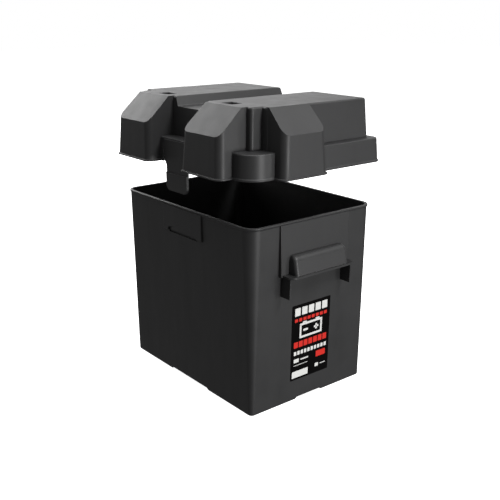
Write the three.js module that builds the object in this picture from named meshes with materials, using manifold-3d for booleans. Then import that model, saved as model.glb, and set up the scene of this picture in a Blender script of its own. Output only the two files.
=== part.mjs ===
// A ventilated plastic battery box: an open tub with carrying handles, and a lid
// with cable hoods and two snap tabs, drawn lifted clear of the tub.
// Millimetres, +Z up. X is the short side, Y the long side. The hoods of the long
// side face -X, and the handles and the label are on the two short walls.
import * as THREE from 'three';
import { mergeVertices } from 'three/addons/utils/BufferGeometryUtils.js';
import Module from 'manifold-3d';

// ---- driving dimensions ---------------------------------------------------------

const GAP = 0.3; // between neighbouring solids of one moulding
const ARC_STEPS = 5; // facets of each rounded vertical corner
const SKIN = 0.5; // how far a cutter runs past the face it cuts
const CLEAR = 9; // and how far past a face that is only near the place it cuts

// Tub
const TUB_HEIGHT = 253;
const RIM_X = 106.5; // half sizes over the rim bead
const RIM_Y = 145.1;
const BEAD = 1.2; // how far the rim bead stands out of the wall
const BEAD_HEIGHT = 3;
const DRAFT = 5.1; // how much each wall leans in from the rim to the base
const WALL = 2.8;
const TUB_CORNER = 17; // radius of the upright corners at the rim
const TUB_CORNER_LOW = 6; // and at the base
const RIM_STEP = 0.8; // height of the small slope under a bead
const BASE_ROUND = 0.8; // chamfer round the underside
const BASE_ROUND_HEIGHT = 1.5;
const INNER_ROUND = 2; // chamfer round the floor inside
const INNER_ROUND_HEIGHT = 4;
const FOOT = 3; // the strap channels leave four corner feet this high
const FLOOR = 3;
const CHANNEL_LONG = 42; // half widths of the two strap channels
const CHANNEL_SHORT = 21;
const CHANNEL_RUN_OUT = 4; // slope at each side of a channel

// Catch plates on the long walls, with the pockets that the tabs snap into
const CATCH_HALF = 44.5;
const CATCH_LOW = 215;
const CATCH_FACE = 0.6; // how far the plate stands out past the rim bead
const PLATE_DEPTH = 6; // from the rim's face in to the back of the plate's block
const POCKET_HALF = 33;
const POCKET_LOW = 212.5;
const POCKET_HIGH = 226; // top of the arched head
const POCKET_END = 219; // height of the head at its two ends
const POCKET_BACK = 3.6; // from the rim's face in to the pocket's back, at its sill

// Handles on the short walls
const PAD_HALF = 59;
const PAD_TOP_FACE = 0.8; // how far the pad stands out past the rim bead
const PAD_LOW_FACE = 2.6;
const GRIP_HALF = 45.5;
const GRIP_TOP = 211;
const GRIP_REACH = 14.5; // from the pad's face to the bar's outer face
const GRIP_WALL = 3;
const GRIP_ROUND = 9;
const GRIP_SLOPE = 4; // how much the bar leans in from its foot to the round
const LIP_HALF = 56;
const LIP_LOW = 183.5;
const PAD_LOW = LIP_LOW;
const LIP_THICK = 2.6;
const LIP_REACH = 16.3;
const LIP_CORNER = 10;
const LEG_INSET = 1.6; // from the lip's end to the leg's outer face
const LEG_THICK = 3;
const LEG_LOW = 156;
const LEG_REACH = 14.4; // from the rim's face
const LEG_SLOPE = 1;

// Label
const LABEL_HALF = 34;
const LABEL_LOW = 30;
const LABEL_HIGH = 137.5;
const LABEL_THICK = 0.5;

// Lid, drawn lifted clear of the tub
const LID_WALL = 2.6;
const LIP_Z = 311;
const LEDGE_Z = 342.5;
const TOP_Z = 393.5;
const FLANGE_X = 110.2; // half sizes of the cap over the rim, at the ledge
const FLANGE_Y = 149.2;
const FLANGE_DRAFT = 1.6;
const FLANGE_CORNER = 13;
const FLANGE_ROUND = 1; // chamfer along the ledge's outer edge
const BOSS_CORNER = 24; // the cap's big corners on the hood side
const LIP_BEAD = 1.2;
const LIP_BEAD_HEIGHT = 2.6;
const BODY_EAST = 95.5; // the raised body's +X face at the top
const BODY_WEST = -86.5; // and its -X face, between and beside the hoods
const BODY_Y = 134;
const BODY_DRAFT = 3; // how much the body widens from the top to the ledge
const BODY_CORNER = 4;
const BODY_ROUND = 2; // two chamfers along the top edge stand in for this round
const NOTCH_Y = 122; // the body's stepped-in corners beside the hoods
const NOTCH_X = -69.5;
const VALLEY_HALF = 31; // strap valley across the top
const VALLEY_DEPTH = 13;
const VALLEY_SLOPE = 4;

// Cable hoods
const WEST_FACE = -129; // outer face of the -X hoods below the slant
const WEST_SLANT_TOP = -94;
const WEST_SLANT_LOW = 361.5; // height of the slant's lower edge
const WEST_NEAR = 40;
const WEST_FAR = 115;
const SIDE_FACE = 163.5; // outer face of the -Y and +Y hoods below the slant
const SIDE_SLANT_TOP = 133;
const SIDE_WEST = -70.5;
const SIDE_EAST = -3.5;
const SIDE_SLANT_LOW = 363.5;
const HOOD_DRAFT = 3;
const HOOD_CORNER = 9;
const HOOD_LIP = 2;
const HOOD_LIP_HEIGHT = 2;
const HOOD_ROOT = 3; // how far a hood runs in towards the body's wall
const THROAT_ROOT = 12; // how far its hollow runs in past that wall

// Vent louvres behind the -X hoods
const VENT_NEAR = 60;
const VENT_FAR = 82;
const VENT_WEST = -83.5;
const VENT_EAST = -67.5;
const VENT_DEPTH = 9;
const LOUVRE_WIDTH = 4;
const LOUVRE_DROP = 2; // from the lid's top to the bar's top

// Snap tabs
const TAB_HALF = 29; // at the hinge end
const TAB_LOW_HALF = 24.5; // at the step
const TAB_SLIT = 2.5;
const SLOT_DEPTH = 12; // from the cap's face in to the back of the tab's slot
const TAB_NECK = 4; // half height of the taper beside the cap's lip
const TAB_FACE = 111.9; // outer face of the tab's strap, when it hangs free
const TAB_THICK = 2.4;
const TAB_TOP = 339.2;
const TAB_STEP = 298;
const TAB_LOW = 274;
const FINGER_HALF = 24;
const FINGER_PROUD = 1.6;
const FINGER_CORNER = 8;
const BARB_HALF = 17;
const BARB_LOW = 296;
const BARB_HIGH = 304.5;
const BARB_PROUD = 2;

// The middle of the whole model's length in X stands on the origin.
const SHIFT_X = (-WEST_FACE + HOOD_LIP + HOOD_DRAFT - TAB_FACE - FINGER_PROUD) / 2;

// ---- materials --------------------------------------------------------------------

const blackPlastic = new THREE.MeshStandardMaterial({ color: 0x2b2b2b, roughness: 0.55, metalness: 0 });
const tabPlastic = new THREE.MeshStandardMaterial({ color: 0x303030, roughness: 0.5, metalness: 0 });
const labelFilm = new THREE.MeshStandardMaterial({ color: 0x121212, roughness: 0.3, metalness: 0 });

// ---- shape helpers ----------------------------------------------------------------

const wasm = await Module();
wasm.setup();

// A closed three.js geometry as a solid for cutting and joining.
function toSolid(geometry) {
  const bare = geometry.index ? geometry.toNonIndexed() : geometry.clone();
  bare.deleteAttribute('normal');
  bare.deleteAttribute('uv');
  const merged = mergeVertices(bare, 1e-4);
  const vertProperties = new Float32Array(merged.attributes.position.array);
  const triVerts = new Uint32Array(merged.index.array);
  return new wasm.Manifold(new wasm.Mesh({ numProp: 3, vertProperties, triVerts }));
}

// A solid as a named mesh.
function toMesh(name, solid, material) {
  const { vertProperties, triVerts } = solid.getMesh();
  const geometry = new THREE.BufferGeometry();
  geometry.setAttribute('position', new THREE.BufferAttribute(new Float32Array(vertProperties), 3));
  geometry.setIndex(new THREE.BufferAttribute(new Uint32Array(triVerts), 1));
  geometry.computeVertexNormals();
  const mesh = new THREE.Mesh(geometry, material);
  mesh.name = name;
  return mesh;
}

function box(x0, x1, y0, y1, z0, z1) {
  const geometry = new THREE.BoxGeometry(x1 - x0, y1 - y0, z1 - z0);
  geometry.translate((x0 + x1) / 2, (y0 + y1) / 2, (z0 + z1) / 2);
  return toSolid(geometry);
}

// A rectangle's outline, anticlockwise, with one radius or four: at the corners
// (-x, -y), (+x, -y), (+x, +y) and (-x, +y).
function roundedRect(x0, x1, y0, y1, radius) {
  const radii = Array.isArray(radius) ? radius : [radius, radius, radius, radius];
  const corners = [
    [x0, y0, 1, 1],
    [x1, y0, -1, 1],
    [x1, y1, -1, -1],
    [x0, y1, 1, -1],
  ];
  return corners.flatMap(([x, y, inX, inY], i) => {
    const r = Math.max(radii[i], 0.05);
    const start = Math.PI + (i * Math.PI) / 2;
    return Array.from({ length: ARC_STEPS + 1 }, (_, step) => {
      const angle = start + ((step / ARC_STEPS) * Math.PI) / 2;
      return [x + inX * r + r * Math.cos(angle), y + inY * r + r * Math.sin(angle)];
    });
  });
}

// A closed body through outlines of equal point counts at rising heights.
function loft(levels) {
  const count = levels[0].outline.length;
  const points = levels.flatMap(({ z, outline }) => outline.map(([x, y]) => [x, y, z]));
  const faces = [];
  for (let level = 0; level < levels.length - 1; level += 1) {
    for (let i = 0; i < count; i += 1) {
      const a = level * count + i;
      const b = level * count + ((i + 1) % count);
      faces.push(a, b, b + count, a, b + count, a + count);
    }
  }
  const flat = levels[0].outline.map(([x, y]) => new THREE.Vector2(x, y));
  const top = (levels.length - 1) * count;
  THREE.ShapeUtils.triangulateShape(flat, []).forEach(([a, b, c]) => {
    faces.push(a, c, b);
    faces.push(top + a, top + b, top + c);
  });
  const geometry = new THREE.BufferGeometry();
  geometry.setAttribute('position', new THREE.Float32BufferAttribute(points.flat(), 3));
  geometry.setIndex(faces);
  return toSolid(geometry);
}

// A profile of [across, z] points swept along X or Y from one place to another.
function prism(profile, along, from, to) {
  const shape = new THREE.Shape(profile.map(([across, z]) => new THREE.Vector2(across, z)));
  const geometry = new THREE.ExtrudeGeometry(shape, { depth: to - from, bevelEnabled: false });
  // The shape's x, y and depth become the model's across, z and along.
  const turn = new THREE.Matrix4();
  if (along === 'y') turn.set(1, 0, 0, 0, 0, 0, -1, to, 0, 1, 0, 0, 0, 0, 0, 1);
  else turn.set(0, 0, 1, from, 1, 0, 0, 0, 0, 1, 0, 0, 0, 0, 0, 1);
  geometry.applyMatrix4(turn);
  return toSolid(geometry);
}

function mirrorX(solid) {
  return solid.mirror([1, 0, 0]);
}

function mirrorY(solid) {
  return solid.mirror([0, 1, 0]);
}

// ---- tub ----------------------------------------------------------------------------

// The tub wall's outer half size at a height, given its half size over the rim bead.
function wallAt(rimHalf, z) {
  return rimHalf - BEAD - (DRAFT * (TUB_HEIGHT - z)) / TUB_HEIGHT;
}

function tubOutline(z, grow) {
  const x = wallAt(RIM_X, z) + grow;
  const y = wallAt(RIM_Y, z) + grow;
  const corner = TUB_CORNER_LOW + ((TUB_CORNER - TUB_CORNER_LOW) * z) / TUB_HEIGHT;
  return roundedRect(-x, x, -y, y, corner + grow);
}

function catchPlate() {
  const face = RIM_X + CATCH_FACE;
  const back = RIM_X - PLATE_DEPTH;
  return box(back, face, -CATCH_HALF, CATCH_HALF, CATCH_LOW, TUB_HEIGHT - BEAD_HEIGHT);
}

// A pocket with a straight sill and an arched head. Its back leans out as it rises,
// and meets the plate's face at the top of the head.
function catchPocket() {
  const rise = POCKET_HIGH - POCKET_END;
  const steps = 8;
  const head = Array.from({ length: steps + 1 }, (_, i) => {
    const share = 1 - (2 * i) / steps;
    return [POCKET_HALF * share, POCKET_END + rise * (1 - share ** 2)];
  });
  const outline = [[-POCKET_HALF, POCKET_LOW], [POCKET_HALF, POCKET_LOW], ...head];
  const wedge = [
    [RIM_X - POCKET_BACK, POCKET_LOW],
    [RIM_X + CLEAR, POCKET_LOW],
    [RIM_X + CLEAR, POCKET_HIGH],
    [RIM_X + CATCH_FACE, POCKET_HIGH],
  ];
  const arched = prism(outline, 'x', RIM_X - POCKET_BACK - SKIN, RIM_X + CLEAR);
  return arched.intersect(prism(wedge, 'y', -CATCH_HALF, CATCH_HALF));
}

function handlePad() {
  const back = wallAt(RIM_Y, PAD_LOW) - WALL / 2;
  const profile = [
    [-back, PAD_LOW],
    [-back, TUB_HEIGHT - BEAD_HEIGHT],
    [-RIM_Y - PAD_TOP_FACE, TUB_HEIGHT - BEAD_HEIGHT],
    [-RIM_Y - PAD_LOW_FACE, PAD_LOW],
  ];
  return prism(profile, 'x', -PAD_HALF, PAD_HALF);
}

// A channel under the floor for a hold-down strap, with sloping sides.
function strapChannel(half, along, reach) {
  const profile = [
    [-half - CHANNEL_RUN_OUT, -SKIN],
    [half + CHANNEL_RUN_OUT, -SKIN],
    [half, FOOT],
    [-half, FOOT],
  ];
  return prism(profile, along, -reach, reach);
}

function tubShell() {
  const beadLow = TUB_HEIGHT - BEAD_HEIGHT;
  const outside = loft([
    { z: 0, outline: tubOutline(0, -BASE_ROUND) },
    { z: BASE_ROUND_HEIGHT, outline: tubOutline(BASE_ROUND_HEIGHT, 0) },
    { z: beadLow, outline: tubOutline(beadLow, 0) },
    { z: beadLow + RIM_STEP, outline: tubOutline(TUB_HEIGHT, BEAD) },
    { z: TUB_HEIGHT, outline: tubOutline(TUB_HEIGHT, BEAD) },
  ]);
  const pads = handlePad();
  const plate = catchPlate();
  const floorTop = FOOT + FLOOR;
  const hollow = loft([
    { z: floorTop, outline: tubOutline(floorTop, -WALL - INNER_ROUND) },
    { z: floorTop + INNER_ROUND_HEIGHT, outline: tubOutline(floorTop + INNER_ROUND_HEIGHT, -WALL) },
    { z: TUB_HEIGHT + SKIN, outline: tubOutline(TUB_HEIGHT, -WALL) },
  ]);
  return outside
    .add(pads)
    .add(mirrorY(pads))
    .add(plate)
    .add(mirrorX(plate))
    .subtract(hollow)
    .subtract(catchPocket())
    .subtract(mirrorX(catchPocket()))
    .subtract(strapChannel(CHANNEL_LONG, 'x', RIM_X + CLEAR))
    .subtract(strapChannel(CHANNEL_SHORT, 'y', RIM_Y + CLEAR));
}

// The bar of a handle: a hood with a rounded top, hollow from below for the fingers,
// standing on a lip. It is drawn for the -Y wall.
function handleGrip() {
  const back = -RIM_Y - PAD_LOW_FACE - GAP;
  const lipTop = LIP_LOW + LIP_THICK;
  const bar = (inset, low) => {
    const outer = back - GRIP_REACH + inset;
    const high = GRIP_TOP - inset;
    const round = GRIP_ROUND - inset;
    const middle = outer + GRIP_SLOPE + round;
    const arc = Array.from({ length: ARC_STEPS + 1 }, (_, i) => {
      const angle = Math.PI / 2 + (i / ARC_STEPS) * (Math.PI / 2);
      return [middle + round * Math.cos(angle), high - round + round * Math.sin(angle)];
    });
    const rear = inset > 0 ? back + SKIN : back;
    const profile = [[rear, low], [rear, high], ...arc, [outer, low]];
    return prism(profile, 'x', -GRIP_HALF + inset, GRIP_HALF - inset);
  };
  const lipCorners = [LIP_CORNER, LIP_CORNER, 0, 0];
  const lipOutline = roundedRect(-LIP_HALF, LIP_HALF, back - LIP_REACH, back, lipCorners);
  const lip = loft([
    { z: LIP_LOW, outline: lipOutline },
    { z: lipTop, outline: lipOutline },
  ]);
  return bar(0, LIP_LOW).add(lip).subtract(bar(GRIP_WALL, LIP_LOW - SKIN));
}

// One of the two legs under a handle's lip, at +X of the -Y wall.
function handleLeg() {
  const outerX = LIP_HALF - LEG_INSET;
  const face = (z) => -wallAt(RIM_Y, z) - GAP;
  const profile = [
    [face(LEG_LOW), LEG_LOW],
    [face(LIP_LOW), LIP_LOW - GAP],
    [-RIM_Y - LEG_REACH, LIP_LOW - GAP],
    [-RIM_Y - LEG_REACH + LEG_SLOPE, LEG_LOW],
  ];
  return prism(profile, 'x', outerX - LEG_THICK, outerX);
}

// The printed label, lying parallel to the leaning -Y wall.
function label() {
  const face = (z, out) => -wallAt(RIM_Y, z) - GAP - out;
  const profile = [
    [face(LABEL_LOW, 0), LABEL_LOW],
    [face(LABEL_HIGH, 0), LABEL_HIGH],
    [face(LABEL_HIGH, LABEL_THICK), LABEL_HIGH],
    [face(LABEL_LOW, LABEL_THICK), LABEL_LOW],
  ];
  return prism(profile, 'x', -LABEL_HALF, LABEL_HALF);
}

// ---- lid ----------------------------------------------------------------------------

// The cap that goes over the tub's rim, shrunk by inset.
function flange(inset, low, high) {
  const outline = (z, grow) => {
    const lean = (FLANGE_DRAFT * (LEDGE_Z - z)) / (LEDGE_Z - LIP_Z);
    const x = FLANGE_X + lean + grow;
    const y = FLANGE_Y + lean + grow;
    const radii = [BOSS_CORNER, FLANGE_CORNER, FLANGE_CORNER, BOSS_CORNER].map((r) => r + grow);
    return roundedRect(-x, x, -y, y, radii);
  };
  if (inset > 0) {
    return loft([
      { z: low, outline: outline(low, -inset) },
      { z: high, outline: outline(high, -inset) },
    ]);
  }
  return loft([
    { z: low, outline: outline(low, LIP_BEAD) },
    { z: low + LIP_BEAD_HEIGHT, outline: outline(low + LIP_BEAD_HEIGHT, LIP_BEAD) },
    { z: low + LIP_BEAD_HEIGHT + RIM_STEP, outline: outline(low + LIP_BEAD_HEIGHT + RIM_STEP, 0) },
    { z: high - FLANGE_ROUND, outline: outline(high - FLANGE_ROUND, 0) },
    { z: high, outline: outline(high, -FLANGE_ROUND) },
  ]);
}

// The raised body above the cap, shrunk by inset, without the strap valley.
function raisedBody(inset, low, high) {
  const lean = (z) => (BODY_DRAFT * (TOP_Z - z)) / (TOP_Z - LEDGE_Z) - inset;
  const block = (x0, x1, y, round) => {
    const outline = (z, shrink) => {
      const out = lean(z) - shrink;
      return roundedRect(x0 - out, x1 + out, -y - out, y + out, Math.max(round - inset, 0.5));
    };
    const levels = [{ z: low, outline: outline(low, 0) }];
    if (inset > 0) {
      levels.push({ z: high, outline: outline(high, 0) });
    } else {
      levels.push({ z: high - BODY_ROUND, outline: outline(high - BODY_ROUND, 0) });
      levels.push({ z: high - BODY_ROUND * 0.3, outline: outline(high, BODY_ROUND * 0.3) });
      levels.push({ z: high, outline: outline(high, BODY_ROUND) });
    }
    return loft(levels);
  };
  const wide = block(NOTCH_X, BODY_EAST, BODY_Y, BODY_CORNER);
  const narrow = block(BODY_WEST, (BODY_WEST + BODY_EAST) / 2, NOTCH_Y, BODY_CORNER);
  return wide.add(narrow);
}

// The space over the strap valley, raised or lowered by shift.
function valley(shift) {
  const floor = TOP_Z - VALLEY_DEPTH - shift;
  const half = VALLEY_HALF + shift;
  const high = TOP_Z + CLEAR;
  const slope = (VALLEY_SLOPE * (high - floor)) / VALLEY_DEPTH;
  const profile = [
    [-half, floor],
    [half, floor],
    [half + slope, high],
    [-half - slope, high],
  ];
  return prism(profile, 'x', BODY_WEST - CLEAR, BODY_EAST + CLEAR);
}

// A hood's block in its own frame: it points along -Y, with its middle at x = 0.
// grow swells it on every side, and inner stops it at the place where it meets the body.
function hoodBlock({ half, face, slantTop, slantLow, inner, grow, low, lip }) {
  const lean = (z) => (HOOD_DRAFT * (slantLow - z)) / (slantLow - LIP_Z);
  const outline = (z, more) => {
    const out = lean(z) + grow + more;
    const r = HOOD_CORNER + grow + more;
    return roundedRect(-half - out, half + out, -face - out, -inner, [r, r, 0, 0]);
  };
  const levels = [];
  if (lip) {
    const lipTop = low + HOOD_LIP_HEIGHT + 2 * grow;
    levels.push({ z: low, outline: outline(low, HOOD_LIP) });
    levels.push({ z: lipTop, outline: outline(lipTop, HOOD_LIP) });
    levels.push({ z: lipTop + RIM_STEP, outline: outline(lipTop + RIM_STEP, 0) });
  } else {
    levels.push({ z: low, outline: outline(low, 0) });
  }
  levels.push({ z: TOP_Z + grow, outline: outline(TOP_Z + grow, 0) });
  // Everything above the slanted face is cut away.
  const run = face - slantTop;
  const drop = TOP_Z - slantLow;
  const nearY = -slantTop - grow * Math.tan(Math.atan2(drop, run) / 2);
  const nearZ = TOP_Z + grow;
  const farY = nearY - 2 * run;
  const high = nearZ + CLEAR;
  const profile = [[nearY, nearZ], [nearY, high], [farY, high], [farY, nearZ - 2 * drop]];
  return loft(levels).subtract(prism(profile, 'x', -half - CLEAR, half + CLEAR));
}

function place(solid, turn, x, y) {
  return solid.rotate([0, 0, turn]).translate([x, y, 0]);
}

const WEST_MIDDLE = (WEST_NEAR + WEST_FAR) / 2;
const SIDE_MIDDLE = (SIDE_WEST + SIDE_EAST) / 2;
const CAP_END = FLANGE_Y + CLEAR; // past the cap on every side

// Where each hood sits: its name, its own sizes, and how it is turned and placed.
const HOODS = [
  { name: 'cable_hood_long_front', kind: 'west', turn: -90, x: 0, y: -WEST_MIDDLE },
  { name: 'cable_hood_long_rear', kind: 'west', turn: -90, x: 0, y: WEST_MIDDLE },
  { name: 'cable_hood_front', kind: 'side', turn: 0, x: SIDE_MIDDLE, y: 0 },
  { name: 'cable_hood_rear', kind: 'side', turn: 180, x: SIDE_MIDDLE, y: 0 },
];

const HOOD_SIZES = {
  west: {
    half: (WEST_FAR - WEST_NEAR) / 2,
    face: -WEST_FACE,
    slantTop: -WEST_SLANT_TOP,
    slantLow: WEST_SLANT_LOW,
    wall: -BODY_WEST,
  },
  side: {
    half: (SIDE_EAST - SIDE_WEST) / 2,
    face: SIDE_FACE,
    slantTop: SIDE_SLANT_TOP,
    slantLow: SIDE_SLANT_LOW,
    wall: BODY_Y,
  },
};

// A hood swollen or shrunk by grow, in its place. depth is how far it runs in
// behind the body's wall.
function hoodInPlace(hood, grow, depth, low, lip) {
  const { wall, ...sizes } = HOOD_SIZES[hood.kind];
  const block = hoodBlock({ ...sizes, inner: wall - depth, grow, low, lip });
  return place(block, hood.turn, hood.x, hood.y);
}

// The hollow under a hood, open below and through the body's wall.
function hoodThroat(hood) {
  return hoodInPlace(hood, -LID_WALL, THROAT_ROOT, LIP_Z - SKIN, false);
}

function cableHood(hood) {
  const outside = hoodInPlace(hood, 0, HOOD_ROOT, LIP_Z, true);
  const inside = hoodThroat(hood);
  const bodyRoom = raisedBody(-GAP, LIP_Z - CLEAR, TOP_Z + CLEAR);
  const rimRoom = flange(LID_WALL, LIP_Z - SKIN, LEDGE_Z - LID_WALL);
  return outside.subtract(inside).subtract(bodyRoom).subtract(rimRoom);
}

// The block of the -Y vent's well, shrunk by inset, from a depth up to a height.
function ventPocket(inset, depth, high) {
  const near = -VENT_NEAR - inset;
  const far = -VENT_FAR + inset;
  return box(VENT_WEST + inset, VENT_EAST - inset, far, near, TOP_Z - depth, high);
}

// The slot in the cap on the +X side that a snap tab hangs in.
function tabSlot() {
  const half = TAB_HALF + TAB_SLIT;
  const inner = FLANGE_X - SLOT_DEPTH;
  return box(inner, FLANGE_X + CLEAR, -half, half, LIP_Z - CLEAR, LEDGE_Z - LID_WALL);
}

// The cap round the tub's rim and the ledge behind it, with gaps where the hoods are.
// It has no piece under the raised body.
function rimCap() {
  const cap = flange(0, LIP_Z, LEDGE_Z)
    .subtract(flange(LID_WALL, LIP_Z - SKIN, LEDGE_Z - LID_WALL))
    .subtract(raisedBody(-GAP, LIP_Z - CLEAR, TOP_Z))
    .subtract(tabSlot())
    .subtract(mirrorX(tabSlot()));
  return HOODS.reduce(
    (solid, hood) => solid.subtract(hoodInPlace(hood, GAP, 0, LIP_Z - GAP, true)),
    cap,
  );
}

// A part of the rim cap between two places along X and along Y.
function rimCapPart(x0, x1, y0, y1) {
  return rimCap().intersect(box(x0, x1, y0, y1, LIP_Z - CLEAR, LEDGE_Z + CLEAR));
}

// The raised body's walls and top, with the strap valley and the hoods' mouths.
function raisedShell() {
  const low = LEDGE_Z - LID_WALL;
  const hollow = raisedBody(LID_WALL, low - SKIN, TOP_Z - LID_WALL).subtract(valley(LID_WALL));
  const shell = raisedBody(0, low, TOP_Z).subtract(valley(0)).subtract(hollow);
  return HOODS.reduce(
    (solid, hood) => solid.subtract(hoodThroat(hood).subtract(valley(LID_WALL))),
    shell,
  );
}

// The half of the raised shell on the -Y side of the valley, with its vent's well.
function crown() {
  const far = BODY_Y + CLEAR;
  const half = box(-RIM_X, RIM_X, -far, -VALLEY_HALF, LIP_Z, TOP_Z + CLEAR);
  const belowTop = TOP_Z - LID_WALL / 2;
  const well = ventPocket(-LID_WALL, VENT_DEPTH + LID_WALL, belowTop);
  return raisedShell().intersect(half).add(well).subtract(ventPocket(0, VENT_DEPTH, TOP_Z + CLEAR));
}

// The valley's floor, with the strips of wall under its two ends.
function strapBridge() {
  const half = VALLEY_HALF - GAP;
  return raisedShell().intersect(box(-RIM_X, RIM_X, -half, half, LIP_Z, TOP_Z));
}

// The bar along the middle of the -Y vent's well.
function louvre() {
  const y = -(VENT_NEAR + VENT_FAR) / 2;
  const low = TOP_Z - VENT_DEPTH + GAP;
  const half = LOUVRE_WIDTH / 2;
  return box(VENT_WEST + GAP, VENT_EAST - GAP, y - half, y + half, low, TOP_Z - LOUVRE_DROP);
}

// The +X snap tab: a strap that hangs from the ledge, a finger lip below it, and a
// barb on its inner side that catches under the pocket's arched head.
function snapTab() {
  const inner = TAB_FACE - TAB_THICK;
  const strap = prism(
    [
      [-FINGER_HALF + GAP, TAB_STEP - SKIN],
      [FINGER_HALF - GAP, TAB_STEP - SKIN],
      [TAB_LOW_HALF, LIP_Z - TAB_NECK],
      [TAB_HALF, LIP_Z + TAB_NECK],
      [TAB_HALF, TAB_TOP],
      [-TAB_HALF, TAB_TOP],
      [-TAB_HALF, LIP_Z + TAB_NECK],
      [-TAB_LOW_HALF, LIP_Z - TAB_NECK],
    ],
    'x',
    inner,
    TAB_FACE,
  );
  const arc = (middle, start) => Array.from({ length: ARC_STEPS + 1 }, (_, i) => {
    const angle = start + ((i / ARC_STEPS) * Math.PI) / 2;
    const y = middle + FINGER_CORNER * Math.cos(angle);
    return [y, TAB_LOW + FINGER_CORNER + FINGER_CORNER * Math.sin(angle)];
  });
  const outline = [
    ...arc(-FINGER_HALF + FINGER_CORNER, Math.PI),
    ...arc(FINGER_HALF - FINGER_CORNER, (3 * Math.PI) / 2),
    [FINGER_HALF, TAB_STEP],
    [-FINGER_HALF, TAB_STEP],
  ];
  const finger = prism(outline, 'x', inner, TAB_FACE + FINGER_PROUD);
  const barb = prism(
    [
      [inner + SKIN, BARB_LOW],
      [inner + SKIN, BARB_HIGH],
      [inner - BARB_PROUD, BARB_HIGH],
      [inner - BARB_PROUD, BARB_HIGH - BARB_PROUD],
      [inner, BARB_LOW],
    ],
    'y',
    -BARB_HALF,
    BARB_HALF,
  );
  return strap.add(finger).add(barb);
}

// ---- assembly -----------------------------------------------------------------------

const group = new THREE.Group();
group.position.x = SHIFT_X;

const tub = new THREE.Group();
tub.add(toMesh('tub_shell', tubShell(), blackPlastic));
tub.add(toMesh('front_handle_grip', handleGrip(), blackPlastic));
tub.add(toMesh('rear_handle_grip', mirrorY(handleGrip()), blackPlastic));
tub.add(toMesh('front_handle_leg_east', handleLeg(), blackPlastic));
tub.add(toMesh('front_handle_leg_west', mirrorX(handleLeg()), blackPlastic));
tub.add(toMesh('rear_handle_leg_east', mirrorY(handleLeg()), blackPlastic));
tub.add(toMesh('rear_handle_leg_west', mirrorX(mirrorY(handleLeg())), blackPlastic));
tub.add(toMesh('label', label(), labelFilm));
group.add(tub);

const lid = new THREE.Group();
const latchBridge = rimCapPart(-CAP_END, SIDE_MIDDLE, -WEST_MIDDLE, WEST_MIDDLE);
const cornerFront = rimCapPart(-CAP_END, SIDE_MIDDLE, -CAP_END, -WEST_MIDDLE);
lid.add(toMesh('lid_skirt', rimCapPart(SIDE_MIDDLE, CAP_END, -CAP_END, CAP_END), blackPlastic));
lid.add(toMesh('lid_corner_front', cornerFront, blackPlastic));
lid.add(toMesh('lid_corner_rear', mirrorY(cornerFront), blackPlastic));
lid.add(toMesh('lid_latch_bridge', latchBridge, blackPlastic));
lid.add(toMesh('lid_crown_front', crown(), blackPlastic));
lid.add(toMesh('lid_crown_rear', mirrorY(crown()), blackPlastic));
lid.add(toMesh('strap_bridge', strapBridge(), blackPlastic));
HOODS.forEach((hood) => lid.add(toMesh(hood.name, cableHood(hood), blackPlastic)));
lid.add(toMesh('vent_louvre_front', louvre(), blackPlastic));
lid.add(toMesh('vent_louvre_rear', mirrorY(louvre()), blackPlastic));
lid.add(toMesh('snap_tab_east', snapTab(), tabPlastic));
lid.add(toMesh('snap_tab_west', mirrorX(snapTab()), tabPlastic));
group.add(lid);

export default group;
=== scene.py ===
import math

import bmesh
import bpy
from bpy.props import FloatProperty, FloatVectorProperty, IntProperty, PointerProperty
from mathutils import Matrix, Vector


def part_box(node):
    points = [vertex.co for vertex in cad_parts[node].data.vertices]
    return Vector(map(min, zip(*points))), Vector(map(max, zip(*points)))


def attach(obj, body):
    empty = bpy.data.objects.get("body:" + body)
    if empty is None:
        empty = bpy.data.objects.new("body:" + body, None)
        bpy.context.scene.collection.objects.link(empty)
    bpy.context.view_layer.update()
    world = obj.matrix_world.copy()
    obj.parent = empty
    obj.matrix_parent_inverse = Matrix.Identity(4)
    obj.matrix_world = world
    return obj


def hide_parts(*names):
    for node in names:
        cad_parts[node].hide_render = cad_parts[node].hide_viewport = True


bl_info = {
    "name": "Battery Box",
    "version": (1, 0, 0),
    "blender": (4, 5, 0),
    "location": "3D View > Sidebar > Battery Box",
    "description": (
        "Builds a moulded battery box, its lifted lid, snap tabs and label round a fixed frame"
    ),
    "category": "Add Mesh",
}

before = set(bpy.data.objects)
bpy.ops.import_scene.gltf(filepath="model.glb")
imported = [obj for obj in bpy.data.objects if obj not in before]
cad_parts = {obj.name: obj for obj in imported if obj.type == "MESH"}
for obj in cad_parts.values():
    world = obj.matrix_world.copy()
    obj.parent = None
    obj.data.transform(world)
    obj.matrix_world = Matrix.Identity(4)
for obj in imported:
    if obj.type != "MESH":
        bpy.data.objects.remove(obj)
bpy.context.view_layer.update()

MM = 0.001
LEAST_RADIUS = 0.05 * MM  # of a corner that is drawn square
SHARP_ANGLE = math.radians(25)  # edges sharper than this can be rounded
SMOOTH_ANGLE = math.radians(32)  # edges flatter than this are shaded smooth
FLAT_ANGLE = math.radians(0.4)  # faces flatter than this to each other are one face
WELD = 0.005 * MM  # points closer than this are one point
FACE_WEIGHT = 80  # how much big faces steer the shading
PAST = 9 * MM  # how far a cutter runs past what it cuts
ROOT = 1 * MM  # how far a piece runs into the one that it stands on

# ---- places from the frame ----------------------------------------------------------------

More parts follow.
